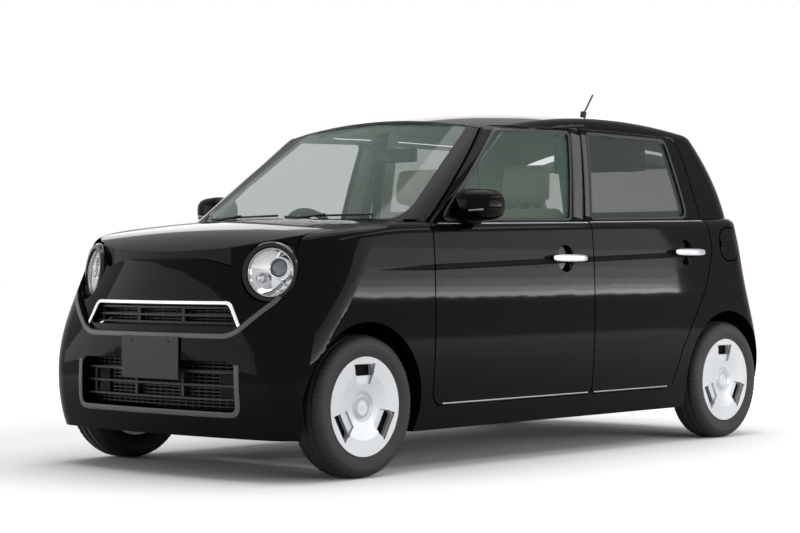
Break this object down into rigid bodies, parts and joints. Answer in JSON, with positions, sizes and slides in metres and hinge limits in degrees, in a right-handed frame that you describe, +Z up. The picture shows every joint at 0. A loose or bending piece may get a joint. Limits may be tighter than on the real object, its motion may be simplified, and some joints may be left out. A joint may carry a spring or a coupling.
{
  "type": "kei car",
  "caption": "Small black five-door kei car with round headlamps, hollow cabin, opening doors, bonnet and tailgate, steered front wheels and covered steel wheels.",
  "frame": {"origin": "on the ground at the middle of the car's length and width", "axes": "+X forward, +Y to the car's left, +Z up"},
  "size_m": [3.394, 1.731, 1.6104],
  "materials": {
    "paint": "gloss",
    "glass": "gloss",
    "tyre": "matte",
    "wheel_silver": "satin",
    "chrome": "polished",
    "red_lens": "gloss",
    "reflector": "polished",
    "cloth": "matte",
    "black_plastic": "matte",
    "chassis_iron": "matte"
  },
  "bodies": {
    "car_body": {"antenna": "black_plastic", "body_shell": "paint", "dashboard": "black_plastic", "engine": "chassis_iron", "exhaust": "chassis_iron", "front_bumper": "paint", "front_face": "paint", "front_fenders": "paint", "front_seats": "cloth", "front_subframe": "chassis_iron", "headlamp_lenses": "glass", "headlamps": "reflector", "lower_grille": "black_plastic", "rear_axle": "chassis_iron", "rear_bumper": "paint", "rear_seat": "cloth", "steering_wheel": "black_plastic", "tail_lamps": "red_lens", "upper_grille": "black_plastic", "windscreen": "glass"},
    "steering_left": {"front_knuckle_left": "chassis_iron"},
    "front_door_body_left": {"front_door_left": "paint", "front_door_glass_left": "glass", "front_door_handle_left": "chrome", "door_mirror_left": "paint"},
    "rear_door_body_left": {"rear_door_left": "paint", "rear_door_glass_left": "glass", "rear_door_handle_left": "chrome"},
    "steering_right": {"front_knuckle_right": "chassis_iron"},
    "front_door_body_right": {"front_door_right": "paint", "front_door_glass_right": "glass", "front_door_handle_right": "chrome", "door_mirror_right": "paint"},
    "rear_door_body_right": {"rear_door_right": "paint", "rear_door_glass_right": "glass", "rear_door_handle_right": "chrome"},
    "road_wheel_front_left": {"tyre_front_left": "tyre", "wheel_front_left": "wheel_silver"},
    "road_wheel_front_right": {"tyre_front_right": "tyre", "wheel_front_right": "wheel_silver"},
    "road_wheel_rear_left": {"tyre_rear_left": "tyre", "wheel_rear_left": "wheel_silver"},
    "road_wheel_rear_right": {"tyre_rear_right": "tyre", "wheel_rear_right": "wheel_silver"},
    "bonnet_body": {"bonnet": "paint"},
    "tailgate_body": {"tailgate": "paint", "tailgate_glass": "glass"},
    "fuel_lid_body": {"fuel_lid": "paint"}
  },
  "joints": [
    {"name": "steer_left", "type": "hinge", "parent": "car_body", "child": "steering_left", "pos_m": [1.2425, 0.574, 0.275], "axis": [0, -0.1189, 0.9929], "range_deg": [-35, 35]},
    {"name": "front_door_left_hinge", "type": "hinge", "parent": "car_body", "child": "front_door_body_left", "pos_m": [0.7855, 0.722, 0.62], "axis": [0, 0, -1], "range_deg": [0, 65]},
    {"name": "rear_door_left_hinge", "type": "hinge", "parent": "car_body", "child": "rear_door_body_left", "pos_m": [-0.2775, 0.722, 0.62], "axis": [0, 0, -1], "range_deg": [0, 70]},
    {"name": "steer_right", "type": "hinge", "parent": "car_body", "child": "steering_right", "pos_m": [1.2425, -0.574, 0.275], "axis": [0, 0.1189, 0.9929], "range_deg": [-35, 35]},
    {"name": "front_door_right_hinge", "type": "hinge", "parent": "car_body", "child": "front_door_body_right", "pos_m": [0.7855, -0.722, 0.62], "axis": [0, 0, 1], "range_deg": [0, 65]},
    {"name": "rear_door_right_hinge", "type": "hinge", "parent": "car_body", "child": "rear_door_body_right", "pos_m": [-0.2775, -0.722, 0.62], "axis": [0, 0, 1], "range_deg": [0, 70]},
    {"name": "spin_front_left", "type": "hinge", "parent": "steering_left", "child": "road_wheel_front_left", "pos_m": [1.2425, 0.6525, 0.275], "axis": [0, 1, 0], "continuous": true},
    {"name": "spin_front_right", "type": "hinge", "parent": "steering_right", "child": "road_wheel_front_right", "pos_m": [1.2425, -0.6525, 0.275], "axis": [0, 1, 0], "continuous": true},
    {"name": "spin_rear_left", "type": "hinge", "parent": "car_body", "child": "road_wheel_rear_left", "pos_m": [-1.2775, 0.6525, 0.275], "axis": [0, 1, 0], "continuous": true},
    {"name": "spin_rear_right", "type": "hinge", "parent": "car_body", "child": "road_wheel_rear_right", "pos_m": [-1.2775, -0.6525, 0.275], "axis": [0, 1, 0], "continuous": true},
    {"name": "bonnet_hinge", "type": "hinge", "parent": "car_body", "child": "bonnet_body", "pos_m": [0.9905, 0, 0.966], "axis": [0, -1, 0], "range_deg": [0, 60]},
    {"name": "tailgate_hinge", "type": "hinge", "parent": "car_body", "child": "tailgate_body", "pos_m": [-1.3425, 0, 1.338], "axis": [0, 1, 0], "range_deg": [0, 80]},
    {"name": "fuel_lid_hinge", "type": "hinge", "parent": "car_body", "child": "fuel_lid_body", "pos_m": [-1.2415, 0.7275, 0.917], "axis": [0, 0, -1], "range_deg": [0, 80]}
  ],
  "couplings": [
    {"joint": "steer_right", "follows": "steer_left", "ratio": 1}
  ]
}
